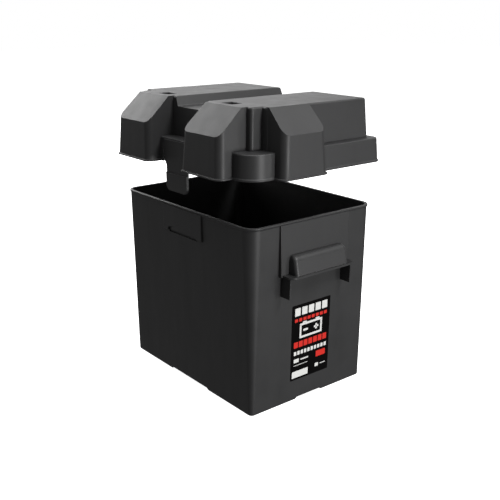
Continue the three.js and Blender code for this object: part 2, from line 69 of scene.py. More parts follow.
TUB_LOW, TUB_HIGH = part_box("tub_shell")
MIDDLE_X = (TUB_LOW.x + TUB_HIGH.x) / 2  # the tub's middle; its middle in Y is the frame's own
RIM_Z = TUB_HIGH.z
PLATE_X = TUB_HIGH.x - MIDDLE_X  # half sizes over the catch plates and the handle pads
PAD_Y = TUB_HIGH.y
GRIP_LOW, GRIP_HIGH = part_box("front_handle_grip")
LEG_LOW, LEG_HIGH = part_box("front_handle_leg_east")
LABEL_LOW, LABEL_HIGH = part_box("label")
LIP_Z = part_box("lid_skirt")[0].z
LEDGE_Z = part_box("lid_skirt")[1].z
TOP_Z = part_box("lid_crown_front")[1].z
LOUVRE_LOW, LOUVRE_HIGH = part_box("vent_louvre_rear")
TAB_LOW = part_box("snap_tab_east")[0]

# ---- settings -----------------------------------------------------------------------------


def length(name, description, default):
    """A length setting, given in millimetres."""
    return FloatProperty(
        name=name, description=description, default=default * MM, min=0, unit="LENGTH"
    )


def colour(name, description, default):
    """A linear colour setting."""
    return FloatVectorProperty(
        name=name, description=description, default=default, size=3, min=0, max=1, subtype="COLOR"
    )


def share(name, description, default):
    """A setting between nothing and all."""
    return FloatProperty(
        name=name, description=description, default=default, min=0, max=1, subtype="FACTOR"
    )


class TubSettings(bpy.types.PropertyGroup):
    """Sizes of the tub and its handles."""

    wall: length("Wall", "Thickness of the tub's wall", 2.8)
    draft: length("Draft", "How much a wall leans in from the rim to the base", 5.1)
    corner: length("Corner", "Radius of the tub's upright corners at the rim", 17)
    corner_low: length("Low corner", "Radius of the tub's upright corners at the base", 6)
    bead: length("Rim bead", "How far the bead round the rim stands out", 1.2)
    bead_height: length("Bead height", "Height of the bead round the rim", 3)
    foot: length("Foot", "Height of the strap channels under the tub", 3)
    grip_round: length("Grip round", "Radius of the grip's upper edge", 9)
    grip_end: length("Grip end", "Radius at the grip's two ends", 4.5)
    lip_corner: length("Lip corner", "Radius of the handle lip's two corners", 10)
    corner_steps: IntProperty(
        name="Corner steps", description="Facets of a rounded corner", default=12, min=3
    )


class LidSettings(bpy.types.PropertyGroup):
    """Sizes of the lid and its hoods."""

    wall: length("Wall", "Thickness of the lid's wall", 2.6)
    boss_corner: length("Boss corner", "Radius of the cap's big corners beside the hoods", 24)
    cap_corner: length("Cap corner", "Radius of the cap's two other corners", 13)
    lip: length("Lip", "How far the cap's lower lip stands out", 1.2)
    hood_lip: length("Hood lip", "How far a hood's lower lip stands out", 2)
    hood_corner: length("Hood corner", "Radius of a hood's upright corners", 9)
    hood_edge: length("Hood edge", "Radius along a hood's slant", 1.5)
    crown_round: length("Crown round", "Radius along the crown's upper edge", 3)
    valley_depth: length("Valley depth", "Depth of the strap valley", 13)


class FinishSettings(bpy.types.PropertyGroup):
    """Colours and surface of the plastic and the label."""

    plastic: colour("Plastic", "Colour of the black moulded plastic", (0.0175, 0.0175, 0.018))
    tab: colour("Tab", "Colour of the snap tabs", (0.019, 0.019, 0.0195))
    film: colour("Film", "Colour of the label's film", (0.0018, 0.0016, 0.0016))
    red: colour("Red ink", "Colour of the label's red print", (0.62, 0.022, 0.014))
    white: colour("White ink", "Colour of the label's white print", (0.72, 0.72, 0.7))
    roughness: share("Roughness", "Middle roughness of the moulded plastic", 0.5)
    # Painted highlight: how much paler the edges of the plastic are painted.
    edge_highlight: share("Wear", "How much paler the rubbed edges are", 0.35)


class StageSettings(bpy.types.PropertyGroup):
    """Floor, light and camera."""

    floor: colour("Floor", "Colour of the floor", (0.9, 0.9, 0.9))
    lens: FloatProperty(
        name="Lens",
        description="Focal length of the camera",
        default=55.92,
        min=1,
        subtype="DISTANCE_CAMERA",
    )


# ---- outlines and solids ------------------------------------------------------------------


def rounded_rect(x0, x1, y0, y1, radii, steps):
    """Points of a rectangle with rounded corners, anticlockwise from (-x, -y)."""
    corners = ((x0, y0, 1, 1), (x1, y0, -1, 1), (x1, y1, -1, -1), (x0, y1, 1, -1))
    points = []
    for quarter, ((x, y, in_x, in_y), radius) in enumerate(zip(corners, radii)):
        r = max(radius, LEAST_RADIUS)
        for step in range(steps + 1):
            angle = math.pi + (quarter + step / steps) * math.pi / 2
            points.append((x + in_x * r + r * math.cos(angle), y + in_y * r + r * math.sin(angle)))
    return points


def arc(centre, radius, start, end, steps):
    """Points of an arc between two angles in degrees."""
    angles = [math.radians(start + (end - start) * step / steps) for step in range(steps + 1)]
    return [(centre[0] + radius * math.cos(a), centre[1] + radius * math.sin(a)) for a in angles]


def solid(name, bm):
    """A closed bmesh as a new object of the scene."""
    bmesh.ops.recalc_face_normals(bm, faces=bm.faces)
    mesh = bpy.data.meshes.new(name)
    bm.to_mesh(mesh)
    bm.free()
    piece = bpy.data.objects.new(name, mesh)
    bpy.context.scene.collection.objects.link(piece)
    return piece


def loft(name, levels):
    """A closed solid through outlines of equal point counts at rising heights."""
    bm = bmesh.new()
    rings = [[bm.verts.new((x, y, z)) for x, y in outline] for z, outline in levels]
    count = len(rings[0])
    for low, high in zip(rings, rings[1:]):
        for i in range(count):
            j = (i + 1) % count
            bm.faces.new((low[i], low[j], high[j], high[i]))
    bm.faces.new(reversed(rings[0]))
    bm.faces.new(rings[-1])
    return solid(name, bm)


def prism(name, profile, along, start, end):
    """A closed profile of (across, z) points, drawn out along X or Y."""
    bm = bmesh.new()

    def point(across, z, place):
        return (place, across, z) if along == "X" else (across, place, z)

    rings = [[bm.verts.new(point(a, z, place)) for a, z in profile] for place in (start, end)]
    count = len(profile)
    for i in range(count):
        j = (i + 1) % count
        bm.faces.new((rings[0][i], rings[0][j], rings[1][j], rings[1][i]))
    bm.faces.new(rings[0])
    bm.faces.new(rings[1])
    return solid(name, bm)


def block(name, low, high):
    """A box between two corners."""
    profile = [(low[1], low[2]), (high[1], low[2]), (high[1], high[2]), (low[1], high[2])]
    return prism(name, profile, "X", low[0], high[0])


def combine(operation, target, *tools):
    """Joins tools to target, or cuts them from it, and removes the tools."""
    for tool in tools:
        change = target.modifiers.new(operation.lower(), "BOOLEAN")
        change.operation = operation
        change.solver = "EXACT"
        change.object = tool
    graph = bpy.context.evaluated_depsgraph_get()
    made = bpy.data.meshes.new_from_object(target.evaluated_get(graph))
    target.modifiers.clear()
    used = target.data
    target.data = made
    bpy.data.meshes.remove(used)
    for tool in tools:
        remove(tool)
    return target


def join(target, *tools):
    return combine("UNION", target, *tools)


def cut(target, *tools):
    return combine("DIFFERENCE", target, *tools)


def remove(piece):
    mesh = piece.data
    bpy.data.objects.remove(piece)
    bpy.data.meshes.remove(mesh)


def mirrored(piece, name, axis):
    """A copy of piece on the other side of the middle plane across axis, X or Y."""
    bm = bmesh.new()
    bm.from_mesh(piece.data)
    side = "XY".index(axis)
    for vert in bm.verts:
        vert.co[side] = -vert.co[side]
    bmesh.ops.reverse_faces(bm, faces=bm.faces)
    return solid(name, bm)


def turned(piece, angle, x=0, y=0):
    """Turns a piece's mesh about Z by degrees and then moves it."""
    a = math.radians(angle)
    for vert in piece.data.vertices:
        px, py = vert.co.x, vert.co.y
        vert.co.x = px * math.cos(a) - py * math.sin(a) + x
        vert.co.y = px * math.sin(a) + py * math.cos(a) + y
    return piece


def soften(piece, width, segments, wanted):
    """Rounds the sharp edges of piece that wanted(edge) picks."""
    bm = bmesh.new()
    bm.from_mesh(piece.data)
    sharp = [e for e in bm.edges if e.is_manifold and e.calc_face_angle(0) > SHARP_ANGLE]
    edges = [e for e in sharp if wanted(e)]
    bmesh.ops.bevel(
        bm,
        geom=edges,
        offset=width,
        segments=segments,
        profile=0.5,
        affect="EDGES",
        clamp_overlap=True,
    )
    bm.to_mesh(piece.data)
    bm.free()
    return piece


def merge_flat(piece):
    """Joins the faces of one plane, which the cuts have left in parts."""
    bm = bmesh.new()
    bm.from_mesh(piece.data)
    bmesh.ops.remove_doubles(bm, verts=bm.verts, dist=WELD)
    bmesh.ops.dissolve_limit(bm, angle_limit=FLAT_ANGLE, verts=bm.verts, edges=bm.edges)
    bm.to_mesh(piece.data)
    bm.free()
    return piece


def middle(edge):
    return (edge.verts[0].co + edge.verts[1].co) / 2


def convex(edge):
    return edge.calc_face_angle_signed(0) > 0


def place(piece, body, slot, materials, *nodes):
    """Moves a finished piece to its place and hands it to the frame."""
    for vert in piece.data.vertices:
        vert.co.x += MIDDLE_X
    piece.data.shade_smooth()
    piece.data.set_sharp_from_angle(angle=SMOOTH_ANGLE)
    keep = piece.modifiers.new("even shading", "WEIGHTED_NORMAL")
    keep.keep_sharp = True
    keep.weight = FACE_WEIGHT
    for material in materials:
        piece.data.materials.append(material)
    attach(piece, body)
    if nodes:
        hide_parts(*nodes)
    return piece


# ---- materials ----------------------------------------------------------------------------

FLAT_DOT = 0.995  # rounded normal against true normal where the painted edge highlight begins
EDGE_DOT = 0.9  # and where it is full
# Width of the painted highlight along the edges.
HIGHLIGHT_RADIUS = 0.9 * MM
PLASTIC_IOR = 1.49
GRAIN_SCALE = 1900
PIT_SCALE = 1300
CLOUD_SCALE = 22
STREAK_SCALE = (60, 60, 9)
SCUFF_SCALE = (300, 300, 40)
MOTTLE_SCALE = 900


class Graph:
    """Small helper that adds nodes to a material and links them."""

    def __init__(self, name):
        self.material = bpy.data.materials.new(name)
        self.material.use_nodes = True
        self.nodes = self.material.node_tree.nodes
        self.links = self.material.node_tree.links
        self.shader = self.nodes["Principled BSDF"]
        self.place = self.add("ShaderNodeTexCoord").outputs["Object"]

    def add(self, kind, **settings):
        node = self.nodes.new(kind)
        for key, value in settings.items():
            setattr(node, key, value)
        return node

    def noise(self, scale, detail=3, roughness=0.55, vector=None):
        node = self.add("ShaderNodeTexNoise")
        node.inputs["Scale"].default_value = scale
        node.inputs["Detail"].default_value = detail
        node.inputs["Roughness"].default_value = roughness
        self.links.new(vector or self.place, node.inputs["Vector"])
        return node.outputs["Fac"]

    def stretched(self, x, y, z):
        """Object coordinates scaled along each axis."""
        node = self.add("ShaderNodeMapping")
        node.inputs["Scale"].default_value = (x, y, z)
        self.links.new(self.place, node.inputs["Vector"])
        return node.outputs["Vector"]

    def spread(self, value, low, high, to_low=0.0, to_high=1.0):
        node = self.add("ShaderNodeMapRange")
        ends = {"From Min": low, "From Max": high, "To Min": to_low, "To Max": to_high}
        for key, number in ends.items():
            node.inputs[key].default_value = number
        self.links.new(value, node.inputs["Value"])
        return node.outputs["Result"]

    def sum(self, first, second, operation="ADD"):
        node = self.add("ShaderNodeMath", operation=operation)
        for socket, value in zip(node.inputs, (first, second)):
            if isinstance(value, (int, float)):
                socket.default_value = value
            else:
                self.links.new(value, socket)
        return node.outputs["Value"]

    def blend(self, factor, low, high):
        """A colour between two, each a socket or a colour."""
        node = self.add("ShaderNodeMix", data_type="RGBA")
        self.links.new(factor, node.inputs["Factor"])
        for key, value in (("A", low), ("B", high)):
            socket = next(s for s in node.inputs if s.name == key and s.type == "RGBA")
            if hasattr(value, "is_linked"):
                self.links.new(value, socket)
            else:
                socket.default_value = (*value, 1)
        return next(s for s in node.outputs if s.type == "RGBA")

    def highlighted(self, radius):
        """0 on flat faces, and rising to 1 along edges within radius: where the edges are painted
        paler as a highlight.
        """
        soft = self.add("ShaderNodeBevel", samples=4)
        soft.inputs["Radius"].default_value = radius
        geometry = self.add("ShaderNodeNewGeometry")
        dot = self.add("ShaderNodeVectorMath", operation="DOT_PRODUCT")
        self.links.new(soft.outputs["Normal"], dot.inputs[0])
        self.links.new(geometry.outputs["Normal"], dot.inputs[1])
        return self.spread(dot.outputs["Value"], FLAT_DOT, EDGE_DOT)

    def bump(self, heights):
        """Bumps of (height socket, strength, distance), one over the other."""
        normal = None
        for height, strength, distance in heights:
            node = self.add("ShaderNodeBump")
            node.inputs["Strength"].default_value = strength
            node.inputs["Distance"].default_value = distance
            self.links.new(height, node.inputs["Height"])
            if normal:
                self.links.new(normal, node.inputs["Normal"])
            normal = node.outputs["Normal"]
        self.links.new(normal, self.shader.inputs["Normal"])


def scaled(base, factor):
    return tuple(min(c * factor, 1.0) for c in base)


def moulded_plastic(name, base, roughness, edge_highlight):
    """Black polypropylene with a fine eroded grain, flow streaks, and a painted highlight along
    the edges.
    """
    g = Graph(name)
    grain = g.noise(GRAIN_SCALE, detail=2, roughness=0.6)
    pits = g.add("ShaderNodeTexVoronoi", feature="SMOOTH_F1")
    pits.inputs["Scale"].default_value = PIT_SCALE
    g.links.new(g.place, pits.inputs["Vector"])
    cloud = g.noise(CLOUD_SCALE, detail=4)
    streaks = g.noise(1, detail=3, vector=g.stretched(*STREAK_SCALE))
    patches = g.spread(g.noise(160, detail=4), 0.3, 0.7)
    # Painted highlight: edges painted paler in patches, and made a little less rough.
    edges = g.sum(g.highlighted(HIGHLIGHT_RADIUS), patches, "MULTIPLY")
    tone = g.blend(g.spread(cloud, 0.3, 0.7), scaled(base, 0.9), scaled(base, 1.12))
    tone = g.blend(g.spread(grain, 0.35, 0.75, 0, 0.5), tone, scaled(base, 1.35))
    # Painted highlight along the edges, up to 3.2 times the base colour.
    tone = g.blend(g.sum(edges, edge_highlight, "MULTIPLY"), tone, scaled(base, 3.2))
    g.links.new(tone, g.shader.inputs["Base Color"])
    rough = g.spread(g.sum(cloud, streaks), 0.7, 1.3, roughness - 0.05, roughness + 0.06)
    rough = g.sum(rough, g.sum(edges, -0.12, "MULTIPLY"))
    g.links.new(rough, g.shader.inputs["Roughness"])
    g.shader.inputs["IOR"].default_value = PLASTIC_IOR
    pitting = pits.outputs["Distance"]
    g.bump([(streaks, 0.05, 0.4 * MM), (pitting, 0.18, 0.05 * MM), (grain, 0.3, 0.04 * MM)])
    return g.material


def printed_ink(name, base, roughness, shine):
    """Ink on film: a faint mottle and a soft gloss."""
    g = Graph(name)
    mottle = g.noise(MOTTLE_SCALE, detail=3)
    scuff = g.noise(1, detail=5, vector=g.stretched(*SCUFF_SCALE))
    tone = g.blend(g.spread(mottle, 0.35, 0.7), scaled(base, 0.86), scaled(base, 1.06))
    g.links.new(tone, g.shader.inputs["Base Color"])
    rough = g.spread(scuff, 0.3, 0.7, roughness - 0.06, roughness + 0.12)
    g.links.new(rough, g.shader.inputs["Roughness"])
    g.shader.inputs["Specular IOR Level"].default_value = shine
    g.bump([(mottle, 0.08, 0.02 * MM)])
    return g.material


def finish(name):
    """The named material, made on first use."""
    found = bpy.data.materials.get(name)
    if found:
        return found
    s = bpy.context.scene.battery_box_finish
    if name == "black_polypropylene":
        return moulded_plastic(name, s.plastic, s.roughness, s.edge_highlight)
    if name == "tab_polypropylene":
        return moulded_plastic(name, s.tab, s.roughness - 0.04, s.edge_highlight)
    inks = {
        "film_ink": (s.film, 0.4, 0.05),
        "red_ink": (s.red, 0.42, 0.3),
        "white_ink": (s.white, 0.45, 0.4),
    }
    return printed_ink(name, *inks[name])


# ---- tub ----------------------------------------------------------------------------------

CATCH_HALF = 44.5 * MM
CATCH_LOW = 215 * MM
CATCH_FACE = 0.6 * MM  # the catch plate stands this far past the rim bead
POCKET_HALF = 33 * MM
POCKET_LOW = 212.5 * MM
POCKET_HIGH = 226 * MM
POCKET_END = 219 * MM
POCKET_BACK = 3.6 * MM
PAD_HALF = 59 * MM
PAD_TOP_FACE = 0.8 * MM
PAD_LOW_FACE = 2.6 * MM
CHANNEL_LONG = 42 * MM
CHANNEL_SHORT = 21 * MM
CHANNEL_RUN_OUT = 4 * MM
CHANNEL_START = -0.5 * MM  # the channel's cutter begins below the base
UNDER_BEAD = 0.2 * MM  # how far a plate runs up into the rim bead
PLATE_SINK = 6 * MM
PLATE_ROUND = 0.9 * MM
BASE_ROUND = 1.5 * MM
RIM_ROUND = 0.9 * MM
MOUTH_ROUND = 0.5 * MM
ON_FACE = 0.05 * MM  # points nearer than this to a face are on it
RIM_X = PLATE_X - CATCH_FACE
RIM_Y = PAD_Y - PAD_LOW_FACE
PAD_LOW = GRIP_LOW.z


def wall_at(s, rim_half, z):
    """The wall's outer half size at a height."""
    return rim_half - s.bead - s.draft * (RIM_Z - z) / RIM_Z


def tub_outline(s, z, grow):
    x = wall_at(s, RIM_X, z) + grow
    y = wall_at(s, RIM_Y, z) + grow
    corner = s.corner_low + (s.corner - s.corner_low) * z / RIM_Z
    return rounded_rect(-x, x, -y, y, [corner + grow] * 4, s.corner_steps)


def round_levels(outline, z, radius, steps, rising):
    """Levels of a quarter round at a solid's foot (rising) or at its top edge."""
    levels = []
    for step in range(steps + 1):
        a = math.pi / 2 * step / steps
        if rising:
            rise, grow = radius * (1 - math.cos(a)), radius * (math.sin(a) - 1)
        else:
            rise, grow = -radius * (1 - math.sin(a)), radius * (math.cos(a) - 1)
        levels.append((z + rise, outline(z, grow)))
    return levels


def tub_body(s):
    bead_low = RIM_Z - s.bead_height

    def wall(z, grow):
        return tub_outline(s, z, grow)

    def rim(z, grow):
        return tub_outline(s, z, s.bead + grow)

    levels = round_levels(wall, 0, BASE_ROUND, 4, True)
    levels += [
        (bead_low - 0.8 * MM, wall(bead_low, 0)),
        (bead_low - 0.2 * MM, wall(bead_low, 0.3 * MM)),
        (bead_low + 0.3 * MM, rim(RIM_Z, -0.25 * MM)),
        (bead_low + 0.8 * MM, rim(RIM_Z, 0)),
    ]
    levels += round_levels(rim, RIM_Z, RIM_ROUND, 4, False)
    return loft("tub_moulding", levels)


def tub_hollow(s):
    floor = 2 * s.foot
    inner_round = 4 * MM
    edge = 0.7 * MM

    def inside(z, grow):
        return tub_outline(s, z, grow - s.wall)

    levels = round_levels(inside, floor, inner_round, 5, True)
    for step in range(5):
        a = math.pi / 2 * step / 4
        levels.append((RIM_Z - edge * (1 - math.sin(a)), inside(RIM_Z, edge * (1 - math.cos(a)))))
    levels.append((RIM_Z + PAST, inside(RIM_Z, edge)))
    return loft("tub_hollow", levels)


def catch_plate(s):
    bead_low = RIM_Z - s.bead_height
    low = (RIM_X - PLATE_SINK, -CATCH_HALF, CATCH_LOW)
    high = (PLATE_X, CATCH_HALF, bead_low + UNDER_BEAD)
    plate = block("catch_plate", low, high)

    def wanted(edge):
        return middle(edge).x > RIM_X and middle(edge).z < bead_low

    return soften(plate, PLATE_ROUND, 3, wanted)


def catch_pocket():
    """The space of a pocket whose back leans out as it rises, to the plate's face at the top."""
    rise = POCKET_HIGH - POCKET_END
    steps = 16
    shares = [1 - 2 * i / steps for i in range(steps + 1)]
    head = [(POCKET_HALF * t, POCKET_END + rise * (1 - t * t)) for t in shares]
    outline = [(-POCKET_HALF, POCKET_LOW), (POCKET_HALF, POCKET_LOW), *head]
    far = RIM_X + PAST
    back = RIM_X - POCKET_BACK
    arched = prism("catch_pocket", outline, "X", back - MM, far)
    wedge = [(back, POCKET_LOW), (far, POCKET_LOW), (far, POCKET_HIGH), (PLATE_X, POCKET_HIGH)]
    return combine("INTERSECT", arched, prism("wedge", wedge, "Y", -CATCH_HALF, CATCH_HALF))


def handle_pad(s):
    back = wall_at(s, RIM_Y, PAD_LOW) - s.wall / 2
    top = RIM_Z - s.bead_height + UNDER_BEAD
    profile = [
        (-back, PAD_LOW),
        (-back, top),
        (-RIM_Y - PAD_TOP_FACE, top),
        (-RIM_Y - PAD_LOW_FACE, PAD_LOW),
    ]
    pad = prism("handle_pad", profile, "X", -PAD_HALF, PAD_HALF)

    def wanted(edge):
        return middle(edge).y < -RIM_Y and middle(edge).z < top - MM

    return soften(pad, PLATE_ROUND, 3, wanted)


def strap_channel(half, along, reach, foot):
    base = half + CHANNEL_RUN_OUT
    profile = [(-base, CHANNEL_START), (base, CHANNEL_START), (half, foot), (-half, foot)]
    return prism("strap_channel", profile, along, -reach, reach)


class BATTERYBOX_OT_tub(bpy.types.Operator):
    """Mould the open tub, with its rim bead, catch plates, handle pads and feet"""

    bl_idname = "battery_box.tub"
    bl_label = "Tub"

    def execute(self, context):
        s = context.scene.battery_box_tub
        tub = tub_body(s)
        pad = handle_pad(s)
        plate = catch_plate(s)
        far_pad = mirrored(pad, "far_pad", "Y")
        far_plate = mirrored(plate, "far_plate", "X")
        join(tub, pad, far_pad, plate, far_plate)
        pocket = catch_pocket()
        far_pocket = mirrored(pocket, "far_pocket", "X")
        long_channel = strap_channel(CHANNEL_LONG, "X", RIM_X + PAST, s.foot)
        short_channel = strap_channel(CHANNEL_SHORT, "Y", RIM_Y + PAST, s.foot)
        cut(tub, tub_hollow(s), pocket, far_pocket, long_channel, short_channel)
        merge_flat(tub)

        def pocket_mouth(edge):
            at = middle(edge)
            on_plate = all(abs(abs(v.co.x) - PLATE_X) < ON_FACE for v in edge.verts)
            by_pocket = abs(at.y) < POCKET_HALF + MM and at.z < POCKET_HIGH + MM
            return on_plate and by_pocket and convex(edge)

        soften(tub, MOUTH_ROUND, 2, pocket_mouth)
        place(tub, "tub", "tub_plastic", [finish("black_polypropylene")], "tub_shell")
        return {"FINISHED"}


# ---- handles ------------------------------------------------------------------------------

GRIP_HALF = 45.5 * MM
GRIP_SLOPE = 4 * MM
GRIP_WALL = 3 * MM
LIP_THICK = 2.6 * MM
GRIP_REACH = 14.5 * MM
LIP_ROUND = 1.1 * MM
LEG_ROUND = 0.7 * MM
LEG_RISE = 0.8 * MM  # how far a leg runs up into the lip
HANDLE_BACK = -RIM_Y - PAD_LOW_FACE + ROOT


def grip_bar(name, s, inset, low):
    """The grip's rounded bar on the -Y wall, shrunk by inset."""
    back = HANDLE_BACK + inset
    outer = -RIM_Y - PAD_LOW_FACE - GRIP_REACH + inset
    high = GRIP_HIGH.z - inset
    radius = s.grip_round - inset
    corner = max(s.grip_end - inset, MM)
    half = GRIP_HALF - inset

    def outline(lean, turn):
        side = half - corner * turn
        front = outer + lean + radius * turn
        return rounded_rect(-side, side, front, back, [corner, corner, 0, 0], 8)

    levels = [(low, outline(0, 0))]
    for step in range(11):
        a = math.pi / 2 * step / 10
        levels.append((high - radius * (1 - math.sin(a)), outline(GRIP_SLOPE, 1 - math.cos(a))))
    return loft(name, levels)


def handle(s):
    """A whole handle on the -Y wall: bar, lip and two legs."""
    bar = grip_bar("front_handle", s, 0, GRIP_LOW.z)
    half = GRIP_HIGH.x - MIDDLE_X
    corners = [s.lip_corner, s.lip_corner, 0, 0]
    ring = rounded_rect(-half, half, GRIP_LOW.y, HANDLE_BACK, corners, 12)
    lip = loft("lip", [(GRIP_LOW.z, ring), (GRIP_LOW.z + LIP_THICK, ring)])

    def level(edge):
        flat = abs(edge.verts[0].co.z - edge.verts[1].co.z) < MM
        return flat and middle(edge).y < HANDLE_BACK - 0.1 * MM

    soften(lip, LIP_ROUND, 3, level)
    leg_top = GRIP_LOW.z + LEG_RISE
    leg_profile = [
        (-wall_at(s, RIM_Y, LEG_LOW.z) + ROOT, LEG_LOW.z),
        (-wall_at(s, RIM_Y, GRIP_LOW.z) + ROOT, leg_top),
        (LEG_LOW.y, leg_top),
        (LEG_LOW.y + MM, LEG_LOW.z),
    ]
    leg = prism("leg", leg_profile, "X", LEG_LOW.x - MIDDLE_X, LEG_HIGH.x - MIDDLE_X)
    soften(leg, LEG_ROUND, 3, lambda e: middle(e).z < GRIP_LOW.z)
    far_leg = mirrored(leg, "far_leg", "X")
    join(bar, lip, leg, far_leg)
    cut(bar, grip_bar("grip_hollow", s, GRIP_WALL, GRIP_LOW.z - PAST))
    return merge_flat(bar)


class BATTERYBOX_OT_handles(bpy.types.Operator):
    """Mould the two carrying handles, each with its bar, lip and legs"""

    bl_idname = "battery_box.handles"
    bl_label = "Handles"

    def execute(self, context):
        front = handle(context.scene.battery_box_tub)
        rear = mirrored(front, "rear_handle", "Y")
        for piece, end in ((front, "front"), (rear, "rear")):
            nodes = [f"{end}_handle_grip", f"{end}_handle_leg_east", f"{end}_handle_leg_west"]
            place(piece, "tub", "tub_plastic", [finish("black_polypropylene")], *nodes)
        return {"FINISHED"}


# ---- label --------------------------------------------------------------------------------

FILM, RED, WHITE = range(3)  # material places on the label
FILM_THICK = 0.45 * MM
INK_THICK = 0.08 * MM
INK_CORNER = 0.7 * MM
FILM_SINK = 0.05 * MM  # how far the film's back lies in the wall

# The print: ink, left, right, foot and head, in millimetres from the label's lower left
# corner. It has rows of plain blocks and rules, a battery sign with its two poles, and
# blank panels.
PRINT = [
    *[(WHITE, 5 + 12 * i, 14.5 + 12 * i, 92, 103) for i in range(5)],
    *[(RED, 5 + 7.4 * i, 10.4 + 7.4 * i, 83.5, 88) for i in range(8)],
    (WHITE, 14, 54, 77, 80),
    (WHITE, 14, 54, 59, 62),
    (WHITE, 14, 17, 61.5, 77.5),
    (WHITE, 51, 54, 61.5, 77.5),
    (WHITE, 19, 26, 79.6, 82),
    (WHITE, 42, 49, 79.6, 82),
    (WHITE, 20.5, 28.5, 68, 71),
    (WHITE, 39.5, 47.5, 68, 71),
    (WHITE, 42, 45, 65.5, 73.5),
    *[(RED, 4.5 + 8.6 * i, 11.5 + 8.6 * i, 46.5, 55) for i in range(7)],
    *[(WHITE, 5 + 6 * i, 9.2 + 6 * i, 36, 41.5) for i in range(10)],
    (WHITE, 5, 14, 25, 30.5),
    (WHITE, 17, 31, 27, 29),
    (RED, 45, 62, 23.5, 32),
    (WHITE, 5, 30, 20.5, 21.5),
    (WHITE, 44, 50, 9, 14),
    (WHITE, 53, 63, 11, 12.2),
    (WHITE, 2.5, 31, 3, 12.5),
]


def ink_plate(bm, low, high, thick, back, lean, ink):
    """A rounded plate of ink between two corners, in (x, height) of the leaning wall."""
    outline = rounded_rect(low[0], high[0], low[1], high[1], [INK_CORNER] * 4, 4)
    rings = [
        [bm.verts.new((x, back(z) - out, z + out * lean)) for x, z in outline]
        for out in (0, thick)
    ]
    faces = [bm.faces.new(reversed(rings[0])), bm.faces.new(rings[1])]
    for i in range(len(outline)):
        j = (i + 1) % len(outline)
        faces.append(bm.faces.new((rings[0][i], rings[0][j], rings[1][j], rings[1][i])))
    for face in faces:
        face.material_index = ink


class BATTERYBOX_OT_label(bpy.types.Operator):
    """Lay the printed film on the front wall"""

    bl_idname = "battery_box.label"
    bl_label = "Label"

    def execute(self, context):
        s = context.scene.battery_box_tub
        half = LABEL_HIGH.x - MIDDLE_X
        lean = s.draft / RIM_Z

        def back(z):
            return -wall_at(s, RIM_Y, z) + FILM_SINK

        bm = bmesh.new()
        ink_plate(bm, (-half, LABEL_LOW.z), (half, LABEL_HIGH.z), FILM_THICK, back, lean, FILM)
        for ink, left, right, foot, head in PRINT:
            low = (-half + left * MM, LABEL_LOW.z + foot * MM)
            high = (-half + right * MM, LABEL_LOW.z + head * MM)
            ink_plate(bm, low, high, FILM_THICK + INK_THICK, back, lean, ink)
        label = solid("label_print", bm)
        inks = [finish("film_ink"), finish("red_ink"), finish("white_ink")]
        place(label, "tub", "label_film", inks, "label")
        return {"FINISHED"}


# ---- lid ----------------------------------------------------------------------------------

FLANGE_X = 110.2 * MM
FLANGE_Y = 149.2 * MM
FLANGE_DRAFT = 1.6 * MM
LIP_BEAD_HEIGHT = 2.6 * MM
BODY_EAST = 95.5 * MM
BODY_WEST = -86.5 * MM
BODY_Y = 134 * MM
BODY_DRAFT = 3 * MM
BODY_CORNER = 4 * MM
NOTCH_Y = 122 * MM
NOTCH_X = -69.5 * MM
VALLEY_HALF = 31 * MM
VALLEY_SLOPE = 4 * MM
WEST_FACE = -129 * MM
WEST_SLANT_TOP = -94 * MM
WEST_SLANT_LOW = 361.5 * MM
WEST_NEAR = 40 * MM
WEST_FAR = 115 * MM
SIDE_FACE = 163.5 * MM
SIDE_SLANT_TOP = 133 * MM
SIDE_WEST = -70.5 * MM
SIDE_EAST = -3.5 * MM
SIDE_SLANT_LOW = 363.5 * MM
HOOD_DRAFT = 3 * MM
HOOD_LIP_HEIGHT = 2 * MM
VENT_NEAR = 60 * MM
VENT_FAR = 82 * MM
VENT_WEST = -83.5 * MM
VENT_EAST = -67.5 * MM
VENT_DEPTH = 9 * MM
TAB_HALF = 29 * MM
TAB_SLIT = 2.5 * MM
SLOT_DEPTH = 12 * MM
SLOT_ROOF = 2.6 * MM
HOOD_ROOT = 6 * MM
THROAT_ROOT = 12 * MM
VENT_CORNER = 2.2 * MM
VENT_FLARE = 1 * MM
CAP_ROUND = 1.8 * MM
LOUVRE_ROUND = 1.4 * MM
SHORT_EDGE = 5 * MM  # upright edges longer than this stay as they are


def cap(name, s, inset, low, high):
    """The cap over the tub's rim; inset shrinks it for the hollow."""
    corners = (s.boss_corner, s.cap_corner, s.cap_corner, s.boss_corner)

    def outline(z, grow):
        lean = FLANGE_DRAFT * (LEDGE_Z - z) / (LEDGE_Z - LIP_Z)
        x = FLANGE_X + lean + grow
        y = FLANGE_Y + lean + grow
        return rounded_rect(-x, x, -y, y, [c + grow for c in corners], 16)

    if inset:
        return loft(name, [(low, outline(low, -inset)), (high, outline(high, -inset))])
    lip_top = low + LIP_BEAD_HEIGHT
    levels = [
        (low, outline(low, s.lip - 0.5 * MM)),
        (low + 0.5 * MM, outline(low, s.lip)),
        (lip_top - 0.4 * MM, outline(lip_top, s.lip)),
        (lip_top, outline(lip_top, s.lip - 0.3 * MM)),
        (lip_top + 0.5 * MM, outline(lip_top, 0.3 * MM)),
        (lip_top + 1.1 * MM, outline(lip_top, 0)),
    ]
    levels += round_levels(outline, high, CAP_ROUND, 5, False)
    return loft(name, levels)


